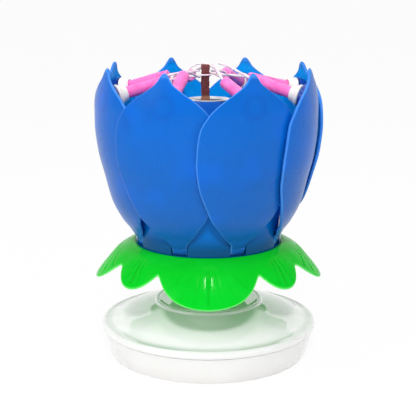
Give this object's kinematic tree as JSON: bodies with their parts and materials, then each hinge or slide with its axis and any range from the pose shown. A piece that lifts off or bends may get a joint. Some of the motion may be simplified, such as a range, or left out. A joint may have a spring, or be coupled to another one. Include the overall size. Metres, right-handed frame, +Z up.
{
  "type": "musical birthday candle",
  "caption": "Lotus-flower birthday candle: hinged petals holding small candles round a central sparkler on a turning head, with a green lobed calyx and a round musical base.",
  "frame": {"origin": "middle of the base's resting face, on the turning axis", "axes": "+Z up along the turning axis; the picture's camera looks along +Y with +X to the right"},
  "size_m": [0.0812, 0.0812, 0.1026],
  "materials": {
    "petal_blue": "glossy translucent moulded plastic",
    "bowl_blue": "glossy translucent moulded plastic",
    "leaf_green": "glossy translucent moulded plastic with fine veins",
    "shell_white": "glossy",
    "holder_cream": "satin",
    "wax_pink": "smooth wax",
    "cotton_white": "waxed cotton",
    "fuse_brown": "rough paper strip",
    "cartridge_paper": "pressed paper",
    "bright_steel": "nickel plated",
    "brass": "satin",
    "gear_white": "moulded acetal",
    "board_green": "solder mask",
    "black_plastic": "satin"
  },
  "bodies": {
    "base": {"base_body": "shell_white", "base_lid": "shell_white", "battery_door": "shell_white", "door_screw": "bright_steel", "lid_screw_1": "bright_steel", "lid_screw_2": "bright_steel", "button_cell_1": "bright_steel", "button_cell_2": "bright_steel", "plus_contact": "bright_steel", "minus_contact": "bright_steel", "motor": "bright_steel", "melody_board": "board_green", "melody_chip": "black_plastic", "piezo_speaker": "brass", "switch_cover": "bright_steel", "spindle_bush": "gear_white"},
    "flower": {"spindle": "shell_white", "drive_gear": "gear_white", "calyx": "leaf_green", "receptacle": "bowl_blue", "hub_screw": "bright_steel", "petal_spring": "bright_steel", "sparkler_tube": "bowl_blue", "sparkler_cartridge": "cartridge_paper", "fuse": "fuse_brown", "tie_thread": "cotton_white"},
    "pinion": {"motor_pinion": "brass"},
    "switch": {"switch_slider": "black_plastic"},
    "petal_arm_1": {"petal_1": "petal_blue", "candle_holder_1": "holder_cream", "candle_1": "wax_pink", "wick_1": "cotton_white"},
    "petal_arm_2": {"petal_2": "petal_blue", "candle_holder_2": "holder_cream", "candle_2": "wax_pink", "wick_2": "cotton_white"},
    "petal_arm_3": {"petal_3": "petal_blue", "candle_holder_3": "holder_cream", "candle_3": "wax_pink", "wick_3": "cotton_white"},
    "petal_arm_4": {"petal_4": "petal_blue", "candle_holder_4": "holder_cream", "candle_4": "wax_pink", "wick_4": "cotton_white"},
    "petal_arm_5": {"petal_5": "petal_blue", "candle_holder_5": "holder_cream", "candle_5": "wax_pink", "wick_5": "cotton_white"},
    "petal_arm_6": {"petal_6": "petal_blue", "candle_holder_6": "holder_cream", "candle_6": "wax_pink", "wick_6": "cotton_white"},
    "petal_arm_7": {"petal_7": "petal_blue", "candle_holder_7": "holder_cream", "candle_7": "wax_pink", "wick_7": "cotton_white"},
    "petal_arm_8": {"petal_8": "petal_blue", "candle_holder_8": "holder_cream", "candle_8": "wax_pink", "wick_8": "cotton_white"}
  },
  "joints": [
    {"name": "flower_spin", "type": "hinge", "parent": "base", "child": "flower", "pos_m": [0, 0, 0.018], "axis": [0, 0, 1], "continuous": true},
    {"name": "pinion_spin", "type": "hinge", "parent": "base", "child": "pinion", "pos_m": [0.016, 0, 0.0112], "axis": [0, 0, 1], "continuous": true},
    {"name": "switch_slide", "type": "slide", "parent": "base", "child": "switch", "axis": [1, 0, 0], "range_m": [0, 0.0025]},
    {"name": "petal_hinge_1", "type": "hinge", "parent": "flower", "child": "petal_arm_1", "pos_m": [0.00922, -0.02205, 0.0432], "axis": [0.9225, 0.3859, 0], "range_deg": [0, 72]},
    {"name": "petal_hinge_2", "type": "hinge", "parent": "flower", "child": "petal_arm_2", "pos_m": [0.02211, -0.00907, 0.0432], "axis": [0.3795, 0.9252, 0], "range_deg": [0, 72]},
    {"name": "petal_hinge_3", "type": "hinge", "parent": "flower", "child": "petal_arm_3", "pos_m": [0.02205, 0.00922, 0.0432], "axis": [-0.3859, 0.9225, 0], "range_deg": [0, 72]},
    {"name": "petal_hinge_4", "type": "hinge", "parent": "flower", "child": "petal_arm_4", "pos_m": [0.00907, 0.02211, 0.0432], "axis": [-0.9252, 0.3795, 0], "range_deg": [0, 72]},
    {"name": "petal_hinge_5", "type": "hinge", "parent": "flower", "child": "petal_arm_5", "pos_m": [-0.00922, 0.02205, 0.0432], "axis": [-0.9225, -0.3859, 0], "range_deg": [0, 72]},
    {"name": "petal_hinge_6", "type": "hinge", "parent": "flower", "child": "petal_arm_6", "pos_m": [-0.02211, 0.00907, 0.0432], "axis": [-0.3795, -0.9252, 0], "range_deg": [0, 72]},
    {"name": "petal_hinge_7", "type": "hinge", "parent": "flower", "child": "petal_arm_7", "pos_m": [-0.02205, -0.00922, 0.0432], "axis": [0.3859, -0.9225, 0], "range_deg": [0, 72]},
    {"name": "petal_hinge_8", "type": "hinge", "parent": "flower", "child": "petal_arm_8", "pos_m": [-0.00907, -0.02211, 0.0432], "axis": [0.9252, -0.3795, 0], "range_deg": [0, 72]}
  ],
  "couplings": [
    {"joint": "pinion_spin", "follows": "flower_spin", "ratio": -3},
    {"joint": "petal_hinge_2", "follows": "petal_hinge_1", "ratio": 1},
    {"joint": "petal_hinge_3", "follows": "petal_hinge_1", "ratio": 1},
    {"joint": "petal_hinge_4", "follows": "petal_hinge_1", "ratio": 1},
    {"joint": "petal_hinge_5", "follows": "petal_hinge_1", "ratio": 1},
    {"joint": "petal_hinge_6", "follows": "petal_hinge_1", "ratio": 1},
    {"joint": "petal_hinge_7", "follows": "petal_hinge_1", "ratio": 1},
    {"joint": "petal_hinge_8", "follows": "petal_hinge_1", "ratio": 1}
  ]
}
